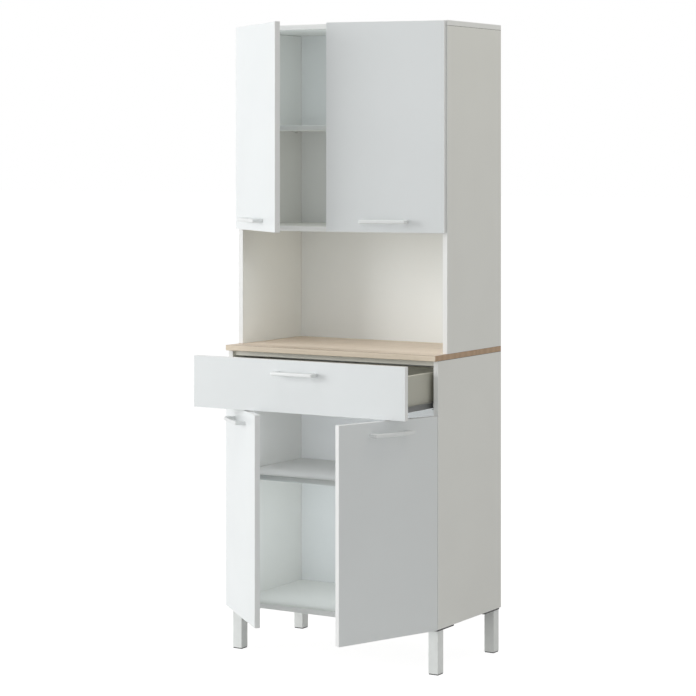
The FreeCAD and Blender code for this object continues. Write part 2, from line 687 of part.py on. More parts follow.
def hinge_cup(name, side, inner_face, z):
    """The cup in the door, round the pin axis as origin, with its round-ended flange, its pin and its
    two screws. Returns them with the cutters for the door."""
    edge = S.pivot_inset - S.edge_reveal
    centre = -side * (S.cup_edge + S.cup_radius - edge)
    floor = inner_face - S.cup_depth
    outside = inner_face + S.flange_thickness
    shell = rod(f"{name}_shell", S.cup_radius, S.cup_depth, (centre, floor, z), "y")
    flange_centre = centre - side * S.flange_shift
    round_end = S.flange_width / 2
    straight = S.flange_length / 2 - round_end
    flange = [block(f"{name}_flange", (flange_centre - round_end, flange_centre + round_end),
                    (inner_face, outside), (z - straight, z + straight))]
    for number, end in enumerate((-straight, straight)):
        flange.append(rod(f"{name}_flange_end_{number}", round_end, S.flange_thickness,
                          (flange_centre, inner_face, z + end), "y"))
    hollow = rod(f"{name}_hollow", S.cup_radius - S.cup_wall, S.cup_depth + S.flange_thickness,
                 (centre, floor + S.cup_wall, z), "y")
    pin_start = (0, 0, z - S.pin_length / 2)
    pin = rod(f"{name}_pin", S.pin_radius, S.pin_length, pin_start)
    cutters = [hollow, rod(f"{name}_pin_seat", S.pin_radius, S.pin_length, pin_start)]
    screws = []
    door_cutters = [rod(f"{name}_bore", S.cup_radius + S.fitting_play,
                        S.cup_depth + S.fitting_play + MARGIN, (centre, floor - S.fitting_play, z), "y")]
    head_height = S.cup_screw_head - S.cup_screw_radius
    sink = (S.cup_screw_radius + S.fitting_play, S.cup_screw_head + S.fitting_play)
    for number, offset in enumerate((-S.cup_screw_pitch / 2, S.cup_screw_pitch / 2)):
        tag = f"{name}_screw_{number}"
        tip = (flange_centre, outside - S.cup_screw_length, z + offset)
        neck = (flange_centre, outside - head_height, z + offset)
        screws.append(join(tag, [
            rod(f"{tag}_shank", S.cup_screw_radius, S.cup_screw_length, tip, "y"),
            cone(f"{tag}_head", S.cup_screw_radius, S.cup_screw_head, head_height, neck, "y")]))
        for tools, use in ((cutters, "flange"), (door_cutters, "door")):
            tools.append(rod(f"{tag}_{use}_hole", sink[0], S.cup_screw_length, tip, "y"))
            tools.append(cone(f"{tag}_{use}_sink", *sink, head_height, neck, "y"))
    cup = cut(f"{name}_cup", join(f"{name}_cup_blank", [shell] + flange), cutters)
    return [cup] + screws, pin, door_cutters


def door(name, side, bottom, height, front, angle, handle_z):
    """A door and all that turns with it, made closed round the pin axis and then swung open."""
    pin_x = side * (HALF - S.pivot_inset)
    pin_y = front - S.pivot_reach
    inner_face = S.pivot_reach - S.carcass_gap
    outer_face = inner_face - S.front_board
    edge = S.pivot_inset - S.edge_reveal
    x = mirrored(-side, -edge, DOOR_WIDTH - edge)
    panel = block(f"{name}_panel", x, (outer_face, inner_face), (size_of(0), height))
    bow, bow_screws, cutters = handle(name, (x[0] + x[1]) / 2, outer_face, handle_z, S.front_board)
    cups, pins = [], []
    for end, z in (("low", S.hinge_inset), ("high", height - S.hinge_inset)):
        tag = f"{name}_{end}"
        cup_and_screws, pin, door_cutters = hinge_cup(tag, side, inner_face, z)
        cups += cup_and_screws
        pins.append(pin)
        cutters += door_cutters
        plate, plate_screws = mounting_plate(tag, side, z)
        for kind, items in (("hinge_arms", hinge_arm(tag, side, z)), ("hinge_plates", [plate]),
                            ("hinge_plate_screws", plate_screws)):
            for item in items:
                add(kind, place(item, pin_x, pin_y, bottom))
        side_name = f"{'base' if 'lower' in name else 'hutch'}_side_{'left' if side < 0 else 'right'}"
        for offset in (-S.plate_screw_pitch / 2, S.plate_screw_pitch / 2):
            start = mirrored(side, INNER, INNER + S.plate_screw_length)[0]
            drill(side_name, S.plate_screw_radius + S.fitting_play, S.plate_screw_length,
                  (start, front + S.plate_line, bottom + z + offset), "x")
    pieces = {
        f"{name}_door": cut(f"{name}_door_piece", panel, cutters),
        f"{name}_handle": bow,
        f"{name}_handle_screws": bow_screws,
        f"{name}_hinge_cups": group(f"{name}_cup_pair", cups),
        f"{name}_hinge_pins": group(f"{name}_pin_pair", pins),
    }
    for piece_name, piece in pieces.items():
        finish(piece_name, place(piece, pin_x, pin_y, bottom, side * angle))


def place(item, x, y, z, angle=None):
    """Moves a piece, and turns it round Z by an angle in degrees."""
    if angle is not None:
        item.Placement = Placement(Vector(), Rotation(Z_AXIS, angle.value))
        item.setExpression("Placement.Rotation.Angle", angle.text)
    return move(item, x, y, z)


upper = (UPPER_DOOR, UPPER_DOOR_HEIGHT, HUTCH_FRONT)
lower = (LOWER_DOOR, LOWER_DOOR_HEIGHT, FRONT)
low_handle = LOWER_DOOR_HEIGHT - S.lower_handle_inset
door("upper_left", -1, *upper, S.upper_left_angle, S.upper_handle_inset)
door("upper_right", 1, *upper, S.upper_right_angle, S.upper_handle_inset)
door("lower_left", -1, *lower, S.lower_left_angle, low_handle)
door("lower_right", 1, *lower, S.lower_right_angle, low_handle)

# ---------------------------------------------------------------- drawer and its runners

DRAWER_HALF = INNER - S.runner_space                    # outer faces of the drawer sides
DRAWER_BACK_OF_FRONT = FRONT - S.carcass_gap - S.drawer_travel
DRAWER_TOP = DRAWER_FRONT + S.drawer_front_height - S.drawer_drop
DRAWER_FLOOR = DRAWER_TOP - S.drawer_side_height        # lower edge of the drawer sides
DRAWER_END = DRAWER_BACK_OF_FRONT + S.runner_length - S.runner_start
SEAT_TOP = DRAWER_FLOOR                                 # flange that the drawer side rests on
RUNNER_BOTTOM = SEAT_TOP - S.runner_sheet
TRACK_UNDERSIDE = RUNNER_BOTTOM + S.drawer_runner_height - S.runner_sheet
FRONT_ROLLER_Z = TRACK_UNDERSIDE - S.roller_play - S.front_roller_radius
FRONT_ROLLER_Y = FRONT + S.front_roller_setback
REAR_ROLLER_Y = DRAWER_END - S.rear_roller_setback
FIXED_TOP = TRACK_UNDERSIDE + S.runner_sheet + S.track_play + S.runner_sheet
FIXED_BOTTOM = FIXED_TOP - S.fixed_runner_height
REAR_ROLLER_Z = FIXED_BOTTOM + S.runner_sheet + S.roller_play + S.rear_roller_radius
ROLLER_OUTER = INNER - S.runner_sheet - S.runner_play

groove = (DRAWER_FLOOR + S.drawer_groove_height,
          DRAWER_FLOOR + S.drawer_groove_height + S.drawer_bottom_board + S.fitting_play)
front_half = HALF - S.edge_reveal
drawer_y = (DRAWER_BACK_OF_FRONT, DRAWER_END)
back_y = (DRAWER_END - S.drawer_board, DRAWER_END)
drawer_inner = DRAWER_HALF - S.drawer_board

front_panel = block("drawer_front_panel", (-front_half, front_half),
                    (DRAWER_BACK_OF_FRONT - S.front_board, DRAWER_BACK_OF_FRONT),
                    (DRAWER_FRONT, DRAWER_FRONT + S.drawer_front_height))
front_groove = block("drawer_front_groove", (-drawer_inner, drawer_inner),
                     (DRAWER_BACK_OF_FRONT - S.drawer_groove_depth, DRAWER_BACK_OF_FRONT + MARGIN),
                     groove)
bow, bow_screws, cutters = handle("drawer", size_of(0), DRAWER_BACK_OF_FRONT - S.front_board,
                                  DRAWER_FRONT + S.drawer_front_height - S.drawer_handle_inset,
                                  S.front_board)
finish("drawer_front", cut("drawer_front_piece", front_panel, cutters + [front_groove]))
finish("drawer_handle", bow)
finish("drawer_handle_screws", bow_screws)
for word, side in SIDES.items():
    x = mirrored(side, drawer_inner, DRAWER_HALF)
    panel = block(f"drawer_side_{word}_panel", x, drawer_y, (DRAWER_FLOOR, DRAWER_TOP))
    slot = block(f"drawer_side_{word}_groove",
                 mirrored(side, drawer_inner - MARGIN, drawer_inner + S.drawer_groove_depth),
                 (drawer_y[0] - MARGIN, drawer_y[1] + MARGIN), groove)
    finish(f"drawer_side_{word}", cut(f"drawer_side_{word}_piece", panel, [slot]))
finish("drawer_back", block("drawer_back_piece", (-drawer_inner, drawer_inner), back_y,
                            (groove[1], groove[1] + S.drawer_back_height)))
bottom_half = drawer_inner + S.drawer_groove_depth - S.shelf_play
finish("drawer_bottom", block("drawer_bottom_piece", (-bottom_half, bottom_half),
                              (DRAWER_BACK_OF_FRONT - S.drawer_groove_depth + S.shelf_play,
                               DRAWER_END),
                              (groove[0], groove[0] + S.drawer_bottom_board)))
# the front's groove is as wide as the gap between the sides, so the bottom is notched at its corners
for word, side in SIDES.items():
    holes.setdefault("drawer_bottom", []).append(
        block(f"drawer_bottom_notch_{word}", mirrored(side, drawer_inner - S.shelf_play, HALF),
              (DRAWER_BACK_OF_FRONT - S.front_board, DRAWER_BACK_OF_FRONT + S.shelf_play), groove))
nodes["drawer_bottom"] = finish("drawer_bottom", cut("drawer_bottom_notched",
                                                     nodes["drawer_bottom"], holes["drawer_bottom"]))


def drawer_runner(word, side):
    """An angle under the drawer side with a track flange outwards, and the axle of the rear roller."""
    sheet_x = mirrored(side, DRAWER_HALF, DRAWER_HALF + S.runner_sheet)
    y = (DRAWER_BACK_OF_FRONT + S.runner_play, DRAWER_END)
    top = RUNNER_BOTTOM + S.drawer_runner_height
    web = block(f"drawer_runner_{word}_web", sheet_x, y, (RUNNER_BOTTOM, top))
    seat = block(f"drawer_runner_{word}_seat",
                 mirrored(side, DRAWER_HALF - S.drawer_runner_seat, DRAWER_HALF + S.runner_sheet), y,
                 (RUNNER_BOTTOM, SEAT_TOP))
    track = block(f"drawer_runner_{word}_track",
                  mirrored(side, DRAWER_HALF, DRAWER_HALF + S.runner_sheet + S.drawer_runner_track),
                  y, (top - S.runner_sheet, top))
    axle = rod(f"drawer_runner_{word}_axle", S.axle_radius, ROLLER_OUTER - DRAWER_HALF,
               (mirrored(side, DRAWER_HALF, ROLLER_OUTER)[0], REAR_ROLLER_Y, REAR_ROLLER_Z), "x")
    return join(f"drawer_runner_{word}", [web, seat, track, axle])


def fixed_runner(word, side):
    """A channel on the side board, open towards the drawer, with a stop across its rear end and the
    axle of the front roller."""
    y = (FRONT + S.runner_start, FRONT + S.runner_start + S.runner_length)
    z = (FIXED_BOTTOM, FIXED_TOP)
    web = block(f"fixed_runner_{word}_web", mirrored(side, INNER - S.runner_sheet, INNER), y, z)
    reach = mirrored(side, INNER - S.fixed_runner_flange, INNER)
    lower = block(f"fixed_runner_{word}_lower", reach, y, (z[0], z[0] + S.runner_sheet))
    upper = block(f"fixed_runner_{word}_upper", reach, y, (z[1] - S.runner_sheet, z[1]))
    stop = block(f"fixed_runner_{word}_stop", reach, (y[1] - S.runner_sheet, y[1]), z)
    axle_end = ROLLER_OUTER - S.roller_width
    axle = rod(f"fixed_runner_{word}_axle", S.axle_radius, INNER - axle_end,
               (mirrored(side, axle_end, INNER)[0], FRONT_ROLLER_Y, FRONT_ROLLER_Z), "x")
    cutters = []
    for number, screw_y in enumerate((y[0] + S.runner_screw_inset, (y[0] + y[1]) / 2,
                                      y[1] - S.runner_screw_inset)):
        tag = f"runner_screw_{word}_{number}"
        middle = (z[0] + z[1]) / 2
        start = mirrored(side, INNER - S.runner_sheet, INNER + S.runner_screw_length)[0]
        length = S.runner_screw_length + S.runner_sheet
        radius, head = S.runner_screw_radius, S.runner_screw_head
        radii = (head, radius) if side > 0 else (radius, head)
        head_start = (mirrored(side, INNER - S.runner_sheet, INNER)[0], screw_y, middle)
        add("runner_screws", join(tag, [
            rod(f"{tag}_shank", radius, length, (start, screw_y, middle), "x"),
            cone(f"{tag}_head", *radii, S.runner_sheet, head_start, "x")]))
        cutters.append(rod(f"{tag}_hole", radius + S.fitting_play, length + 2 * MARGIN,
                           (start - MARGIN, screw_y, middle), "x"))
        cutters.append(cone(f"{tag}_sink", *[size + S.fitting_play for size in radii],
                            S.runner_sheet, head_start, "x"))
        drill(f"base_side_{word}", radius + S.fitting_play, S.runner_screw_length + MARGIN,
              (mirrored(side, INNER - MARGIN, INNER + S.runner_screw_length)[0], screw_y, middle), "x")
    blank = join(f"fixed_runner_{word}_blank", [web, lower, upper, stop, axle])
    return cut(f"fixed_runner_{word}", blank, cutters)


def roller(name, side, radius, y, z):
    """A roller with chamfered rims, on the axle of its runner."""
    x = mirrored(side, ROLLER_OUTER - S.roller_width, ROLLER_OUTER)
    rim = radius - S.roller_chamfer
    wheel = join(f"{name}_wheel", [
        cone(f"{name}_near", rim, radius, S.roller_chamfer, (x[0], y, z), "x"),
        rod(f"{name}_tread", radius, S.roller_width - 2 * S.roller_chamfer,
            (x[0] + S.roller_chamfer, y, z), "x"),
        cone(f"{name}_far", radius, rim, S.roller_chamfer, (x[1] - S.roller_chamfer, y, z), "x")])
    bore = rod(f"{name}_bore", S.axle_radius + S.roller_play, S.roller_width + 2 * MARGIN,
               (x[0] - MARGIN, y, z), "x")
    return cut(name, wheel, [bore])


for kind, maker in (("drawer_runners", drawer_runner), ("cabinet_runners", fixed_runner)):
    finish(kind, group(f"{kind}_pair", [maker(word, side) for word, side in SIDES.items()]))
for kind, radius, y, z in (("front_rollers", S.front_roller_radius, FRONT_ROLLER_Y, FRONT_ROLLER_Z),
                           ("rear_rollers", S.rear_roller_radius, REAR_ROLLER_Y, REAR_ROLLER_Z)):
    finish(kind, group(f"{kind}_pair", [roller(f"{kind}_{word}", side, radius, y, z)
                                        for word, side in SIDES.items()]))

# ---------------------------------------------------------------- boards of the carcass


def board(name, x, y, z, cutters=()):
    blank = block(f"{name}_blank", x, y, z)
    return finish(name, cut(f"{name}_piece", blank, list(cutters) + holes.get(name, [])))


def side_board(name, side, front, z):
    rebate = block(f"{name}_rebate", mirrored(side, INNER - MARGIN, INNER + S.rebate_width),
                   (BACK_FACE, BACK + MARGIN), (z[0] - MARGIN, z[1] + MARGIN))
    board(name, mirrored(side, INNER, HALF), (front, BACK), z, [rebate])


across = (-INNER, INNER)
shelf_across = (-(INNER - S.shelf_play), INNER - S.shelf_play)
back_across = (-(INNER + S.rebate_width - S.shelf_play), INNER + S.rebate_width - S.shelf_play)
for word, side in SIDES.items():
    side_board(f"base_side_{word}", side, FRONT, (BASE_BOTTOM, BASE_TOP))
    side_board(f"hutch_side_{word}", side, HUTCH_FRONT, (WORKTOP, HUTCH_TOP - S.board))
board("base_bottom", across, (FRONT, BACK_FACE), (BASE_BOTTOM, BASE_BOTTOM + S.board))
board("base_shelf", shelf_across, (FRONT + S.shelf_setback, BACK_FACE - S.shelf_play),
      (BASE_SHELF, BASE_SHELF + S.board))
board("front_rail", across, (FRONT + S.rail_setback, FRONT + S.rail_setback + S.rail_depth),
      (BASE_TOP - S.board, BASE_TOP))
board("rear_rail", across, (BACK_FACE - S.rail_depth, BACK_FACE), (BASE_TOP - S.board, BASE_TOP))
board("base_back_panel", back_across, (BACK_FACE, BACK), (BASE_BOTTOM, BASE_TOP))
board("worktop", (-HALF, HALF), (FRONT - S.worktop_overhang, BACK), (BASE_TOP, WORKTOP))
board("hutch_floor", across, (HUTCH_FRONT, BACK_FACE), (NICHE_TOP, HUTCH_FLOOR))
board("hutch_shelf", shelf_across, (HUTCH_FRONT + S.shelf_setback, BACK_FACE - S.shelf_play),
      (HUTCH_SHELF, HUTCH_SHELF + S.board))
board("hutch_top", (-HALF, HALF), (HUTCH_FRONT, BACK), (HUTCH_TOP - S.board, HUTCH_TOP))
board("hutch_back_panel", back_across, (BACK_FACE, BACK), (WORKTOP, HUTCH_TOP - S.board))

for kind, items in fasteners.items():
    finish(kind, group(f"{kind}_set", items))

# ---------------------------------------------------------------- check and write

doc.recompute()
faults = [item.Name for item in doc.Objects if {"Invalid", "Error"} & set(item.State)]
faults += [name for name, item in nodes.items() if item.Shape.isNull() or not item.Shape.isValid()]
if faults:
    raise RuntimeError(f"these objects failed: {sorted(set(faults))}")
os.makedirs("parts", exist_ok=True)
for name, item in sorted(nodes.items()):
    item.Shape.exportStep(f"parts/{name}.step")
    box = item.Shape.BoundBox
    print(f"{name}: {len(item.Shape.Solids)} solid(s), {box.XLength:.1f} x {box.YLength:.1f} x "
          f"{box.ZLength:.1f}")
print(len(nodes), "nodes")
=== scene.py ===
# %% [markdown]
# # A microwave cabinet
# The real object is flat-pack furniture: a base unit on four square legs, with a drawer over two doors,
# an oak-look worktop, and a shallower hutch with an open niche for the oven and a cupboard above it.
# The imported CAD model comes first. Every board, hinge and screw already has its true size and place
# there, so this lesson only has to give each of them the edges and the finish that the eye expects.

# %% Load the frame
import json
from math import cos, pi, radians, sin

import bmesh
import bpy
from mathutils import Matrix, Vector

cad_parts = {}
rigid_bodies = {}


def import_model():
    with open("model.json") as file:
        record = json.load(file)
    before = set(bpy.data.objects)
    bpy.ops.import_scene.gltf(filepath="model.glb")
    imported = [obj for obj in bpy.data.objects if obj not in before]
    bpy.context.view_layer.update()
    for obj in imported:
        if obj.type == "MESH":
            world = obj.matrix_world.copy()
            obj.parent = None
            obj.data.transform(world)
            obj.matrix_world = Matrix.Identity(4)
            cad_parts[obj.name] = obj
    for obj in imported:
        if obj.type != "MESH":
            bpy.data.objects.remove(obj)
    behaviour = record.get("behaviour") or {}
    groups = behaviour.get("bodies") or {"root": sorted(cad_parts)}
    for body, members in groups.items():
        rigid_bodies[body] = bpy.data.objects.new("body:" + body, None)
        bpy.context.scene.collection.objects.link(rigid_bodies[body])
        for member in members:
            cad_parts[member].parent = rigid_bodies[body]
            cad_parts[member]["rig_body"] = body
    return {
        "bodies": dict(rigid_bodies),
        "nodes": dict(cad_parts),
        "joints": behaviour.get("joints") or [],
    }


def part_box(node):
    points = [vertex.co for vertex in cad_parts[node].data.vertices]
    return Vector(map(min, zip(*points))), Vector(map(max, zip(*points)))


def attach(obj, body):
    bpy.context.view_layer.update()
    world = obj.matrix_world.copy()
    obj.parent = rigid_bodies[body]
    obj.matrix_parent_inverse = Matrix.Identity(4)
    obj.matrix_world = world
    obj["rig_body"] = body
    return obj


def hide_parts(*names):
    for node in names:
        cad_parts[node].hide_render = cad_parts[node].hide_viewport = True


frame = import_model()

MM = 0.001                         # the frame is in metres
REAR, UNDER, TOP = Vector((0, 1, 0)), Vector((0, 0, -1)), Vector((0, 0, 1))
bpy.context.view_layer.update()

# %% [markdown]
# ## First helpers
# World, floor and finishes are all drawn as trees of nodes, and each node takes several lines to add by
# hand. One helper adds a node, sets it and links it, one empties a tree, and one mixes two shaders. The
# last lays a flat sheet, once for the floor and once for a net that dims the light.

# %% Helpers for node trees and sheets
def add_node(tree, kind, settings=(), **sockets):
    """One shader node. A socket that is given another node's output is linked, a plain value is set."""
    made = tree.nodes.new(kind)
    for key, value in dict(settings).items():
        setattr(made, key, value)
    for key, value in sockets.items():
        socket = made.inputs[key.replace("_", " ")]
        if isinstance(value, bpy.types.NodeSocket):
            tree.links.new(value, socket)
        else:
            socket.default_value = value
    return made


def empty_tree(owner):
    """The node tree of a material or a world, with nothing in it."""
    owner.use_nodes = True
    owner.node_tree.nodes.clear()
    return owner.node_tree


def mix_shaders(tree, share, first, second):
    """The surface of a material: the second shader by a share, the first one for the rest."""
    mix = add_node(tree, "ShaderNodeMixShader", Fac=share)
    tree.links.new(first.outputs[0], mix.inputs[1])
    tree.links.new(second.outputs[0], mix.inputs[2])
    add_node(tree, "ShaderNodeOutputMaterial", Surface=mix.outputs[0])


def lay_sheet(name, size, height, paint):
    """A level sheet centred on the cabinet, with its width and depth in metres."""
    mesh = bmesh.new()
    place = Matrix.Translation((0.0, 0.0, height)) @ Matrix.Diagonal((*size, 1.0, 1.0))
    bmesh.ops.create_grid(mesh, x_segments=1, y_segments=1, size=0.5, matrix=place)
    data = bpy.data.meshes.new(name)
    mesh.to_mesh(data)
    mesh.free()
    data.materials.append(paint)
    sheet = bpy.data.objects.new(name, data)
    bpy.context.scene.collection.objects.link(sheet)
    return sheet


print("first helpers:", ", ".join(f.__name__ for f in (add_node, empty_tree, mix_shaders, lay_sheet)))

# %% [markdown]
# ## Studio
# A product photograph like this one is lit by one large soft lamp on the left and by the white room.
# The lamp alone would leave the right side black, and the room alone would leave the fronts flat. The
# room is the world: grey light for the surfaces, but plain white for the camera and for reflections, so
# the background is white without any lamp being turned up.

# %% White room
AMBIENT = 0.50                     # how bright the room is for a matt surface


def seen_directly(tree):
    """A socket that is 1 for rays that show the surroundings: camera, mirror and glass rays."""
    path = add_node(tree, "ShaderNodeLightPath").outputs
    seen = path["Is Camera Ray"]
    for ray in ("Is Glossy Ray", "Is Transmission Ray"):
        either = add_node(tree, "ShaderNodeMath", {"operation": "MAXIMUM"})
        tree.links.new(seen, either.inputs[0])
        tree.links.new(path[ray], either.inputs[1])
        seen = either.outputs[0]
    return seen


world = bpy.data.worlds.new("white room")
bpy.context.scene.world = world
sky = empty_tree(world)
strength = add_node(sky, "ShaderNodeMapRange", Value=seen_directly(sky), To_Min=AMBIENT, To_Max=1.0)
background = add_node(sky, "ShaderNodeBackground", Color=(1.0, 1.0, 1.0, 1.0),
                      Strength=strength.outputs["Result"])
add_node(sky, "ShaderNodeOutputWorld", Surface=background.outputs[0])
print("world: strength", AMBIENT, "on surfaces, 1 for the camera")

# %% [markdown]
# Each lamp is an area lamp, because its size is what makes a shadow's edge soft. The key lamp hangs far
# out on the left and low, so that the open drawer throws only a short shadow on the doors. A second lamp
# overhead lights the worktop and the top edges, and a small warm one high on the right keeps that side
# from looking flat. A lamp is set by the grey that a white board facing it would show, which is easier
# to choose than watts.

# %% Lamps
AIM = Vector((0.0, -0.1, 1.0))
# for each lamp: azimuth from the front and height in degrees, distance and size in metres, grey, tint
LAMPS = {
    "key lamp": (-48.0, 10.0, 9.0, 4.2, 0.44, (1.0, 1.0, 1.0)),
    "top lamp": (-25.0, 66.0, 5.0, 2.6, 0.14, (1.0, 1.0, 1.0)),
    "side lamp": (100.0, 52.0, 2.8, 0.8, 0.070, (1.0, 0.95, 0.72))}


def hang_lamp(name, place, aim, size, power, colour):
    """An area lamp at a place, turned to face a point, with a width and a height."""
    lamp = bpy.data.lights.new(name, "AREA")
    lamp.shape, lamp.energy, lamp.color = "RECTANGLE", power, colour
    lamp.size, lamp.size_y = size
    holder = bpy.data.objects.new(name, lamp)
    bpy.context.scene.collection.objects.link(holder)
    holder.location = place
    holder.rotation_euler = (aim - place).to_track_quat("-Z", "Y").to_euler()
    holder.visible_camera = False
    return holder


for name, (azimuth, height, distance, size, grey, tint) in LAMPS.items():
    a, h = radians(azimuth), radians(height)
    place = AIM + distance * Vector((sin(a) * cos(h), -cos(a) * cos(h), sin(h)))
    hang_lamp(name, place, AIM, (size, size), grey * (pi * distance) ** 2, tint)
    print(name, "at", [round(c, 2) for c in place])

# %% [markdown]
# Half-open doors keep the lamps out of the cupboards, and the eye wants to see what is inside. As a
# photographer would, each space gets a flat panel of light of its own, hidden just behind its front edge
# and facing the back panel. A honeycomb grid narrows a beam, which spares the shelf under it. A panel's
# grey is what it would show if it were seen.

# %% Light panels in the open spaces
PANEL_WIDTH = 0.67
OFF_SHELF = 0.008                  # how far a panel hangs in front of the shelf's edge
PANEL_LINE = {unit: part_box(unit + "_shelf")[0][1] - OFF_SHELF for unit in ("hutch", "base")}
# for each panel: unit, lowest and highest point in metres, grey, beam in degrees, tint
PANELS = {
    "cupboard top": ("hutch", 1.566, 1.841, 0.68, 180, (0.86, 0.93, 1.0)),
    "cupboard bottom": ("hutch", 1.268, 1.543, 0.48, 180, (0.97, 0.99, 1.0)),
    "niche": ("hutch", 0.912, 1.160, 0.48, 180, (0.95, 0.985, 1.0)),
    "base top": ("base", 0.545, 0.720, 1.50, 150, (0.91, 0.94, 1.0)),
    "base bottom": ("base", 0.180, 0.508, 0.91, 155, (0.86, 0.92, 1.0))}
for name, (unit, low, high, grey, beam, tint) in PANELS.items():
    middle = Vector((0.0, PANEL_LINE[unit], (low + high) / 2))
    size = (PANEL_WIDTH, high - low)
    panel = hang_lamp(name + " panel", middle, middle + REAR, size, grey * pi * size[0] * size[1], tint)
    panel.data.spread = radians(beam)
    panel.visible_glossy = False
print("light panels:", ", ".join(PANELS))

# %% [markdown]
# The two panels in the base would also light the drawer space above them, which is dark in the
# photograph. A dense grey net, level and just under the drawer, keeps most of their light out. It isn't
# seen by the camera or in reflections.

# %% Net under the drawer
NET_HEIGHT, NET_SIZE = 0.748, (0.674, 0.374)
NET_GREY, NET_OPEN = 0.30, 0.12    # how pale the threads are, and the share of light that passes the net

net_paint = bpy.data.materials.new("grey net")
tree = empty_tree(net_paint)
threads = add_node(tree, "ShaderNodeBsdfDiffuse", Color=(NET_GREY, NET_GREY, NET_GREY, 1.0))
mix_shaders(tree, NET_OPEN, threads, add_node(tree, "ShaderNodeBsdfTransparent"))
net = lay_sheet("net under the drawer", NET_SIZE, NET_HEIGHT, net_paint)
net.visible_camera = net.visible_glossy = False
print("net:", [round(c / MM) for c in NET_SIZE], "mm, at", round(NET_HEIGHT / MM), "mm above the floor")

# %% [markdown]
# ## Floor
# The floor is one pale sheet, much larger than the view. Its own colour catches the cabinet's shadow.
# For the camera, most of it is swapped for plain white light, so it meets the white room with no seam.

# %% Pale floor
FLOOR_SIZE, FLOOR_PALE = 120.0, (0.74, 0.74, 0.73, 1.0)
WHITE_SHARE, WHITE_LIGHT = 0.72, 1.28

floor_paint = bpy.data.materials.new("pale floor")
tree = empty_tree(floor_paint)
share = add_node(tree, "ShaderNodeMath", {"operation": "MULTIPLY"}, Value=seen_directly(tree))
share.inputs[1].default_value = WHITE_SHARE
matt = add_node(tree, "ShaderNodeBsdfDiffuse", Color=FLOOR_PALE)
mix_shaders(tree, share.outputs[0], matt, add_node(tree, "ShaderNodeEmission", Strength=WHITE_LIGHT))
floor = lay_sheet("floor", (FLOOR_SIZE, FLOOR_SIZE), 0.0, floor_paint)
print("floor:", round(FLOOR_SIZE), "m square")

# %% [markdown]
# ## Camera
# The upright edges in the photograph stay parallel, so the camera was level and the lens was shifted
# down to take in the feet. Place, turn, lens and shift come from fitting the cabinet's corners and
# edges to where they lie in the picture, so they are plain numbers here.

# %% Level camera with a lens shift
SENSOR_MM, LENS_MM = 36.0, 118.911
SHIFT_DOWN = 0.28398               # in widths of the picture
CAMERA_PLACE = (3.5217, -5.87485, 1.48845)
CAMERA_TURN = 31.35                # degrees to the left of straight at the cabinet's front

lens = bpy.data.cameras.new("camera")
lens.sensor_width, lens.lens = SENSOR_MM, LENS_MM
lens.shift_x, lens.shift_y = 0.0, -SHIFT_DOWN
camera = bpy.data.objects.new("camera", lens)
camera.location = CAMERA_PLACE
camera.rotation_euler = (radians(90.0), 0.0, radians(CAMERA_TURN))
bpy.context.scene.collection.objects.link(camera)
bpy.context.scene.camera = camera
bpy.context.scene.view_settings.view_transform = "Standard"
print("camera", round(lens.lens, 1), "mm at", [round(c, 2) for c in camera.location])

# %% [markdown]
# ## Finishes
# Each finish is one Principled shader with a small pattern feeding its colour, roughness and bump.
# The patterns are read in metres, so a number such as 900 per metre is a real size on the cabinet.
# Small helpers keep the recipes short. One starts a material, one places a pattern, one draws clouds,
# one spreads a pattern over two colours, one mixes two colours, and one presses a relief into the
# surface.

# %% Helpers for finishes
def new_finish(name, colour, roughness, metallic=0.0):
    """A material with its tree and its shader, at one colour until a pattern is linked."""
    made = bpy.data.materials.new(name)
    made.use_nodes = True
    shader = made.node_tree.nodes["Principled BSDF"]
    shader.inputs["Base Color"].default_value = (*colour, 1.0)
    shader.inputs["Roughness"].default_value = roughness
    shader.inputs["Metallic"].default_value = metallic
    return made, made.node_tree, shader


def metres(tree, stretch=(1.0, 1.0, 1.0), attribute=None):
    """Where a point lies on the piece, in metres, stretched per axis."""
    if attribute:
        source = add_node(tree, "ShaderNodeAttribute", {"attribute_name": attribute}).outputs["Vector"]
    else:
        source = add_node(tree, "ShaderNodeTexCoord").outputs["Object"]
    return add_node(tree, "ShaderNodeMapping", Vector=source, Scale=stretch).outputs["Vector"]


def noise(tree, vector, scale, detail=3.0, roughness=0.55):
    """A cloudy grey pattern, 0 to 1, with so many clouds per metre."""
    return add_node(tree, "ShaderNodeTexNoise", Vector=vector, Scale=scale, Detail=detail,
                    Roughness=roughness).outputs["Fac"]


def ramp(tree, value, low, high, start=0.0, end=1.0):
    """Two colours or two numbers blended by a pattern, between two of its levels."""
    node = add_node(tree, "ShaderNodeValToRGB", Fac=value)
    for stop, place, paint in zip(node.color_ramp.elements, (start, end), (low, high)):
        stop.position = place
        stop.color = (*paint, 1.0) if hasattr(paint, "__len__") else (paint, paint, paint, 1.0)
    return node.outputs["Color"]


def blend(tree, factor, first, second, how="MIX"):
    """Two colours mixed by a factor, or multiplied."""
    node = add_node(tree, "ShaderNodeMix", {"data_type": "RGBA", "blend_type": how})
    for socket, value in ((node.inputs[0], factor), (node.inputs[6], first), (node.inputs[7], second)):
        if isinstance(value, bpy.types.NodeSocket):
            tree.links.new(value, socket)
        else:
            socket.default_value = value if isinstance(value, float) else (*value, 1.0)
    return node.outputs[2]


def bump(tree, shader, height, depth, strength=1.0):
    """Surface relief of a real depth in metres, linked to the shader."""
    node = add_node(tree, "ShaderNodeBump", Height=height, Distance=depth, Strength=strength)
    tree.links.new(node.outputs["Normal"], shader.inputs["Normal"])


made_here = (new_finish, metres, noise, ramp, blend, bump)
print("helpers for finishes:", ", ".join(f.__name__ for f in made_here))

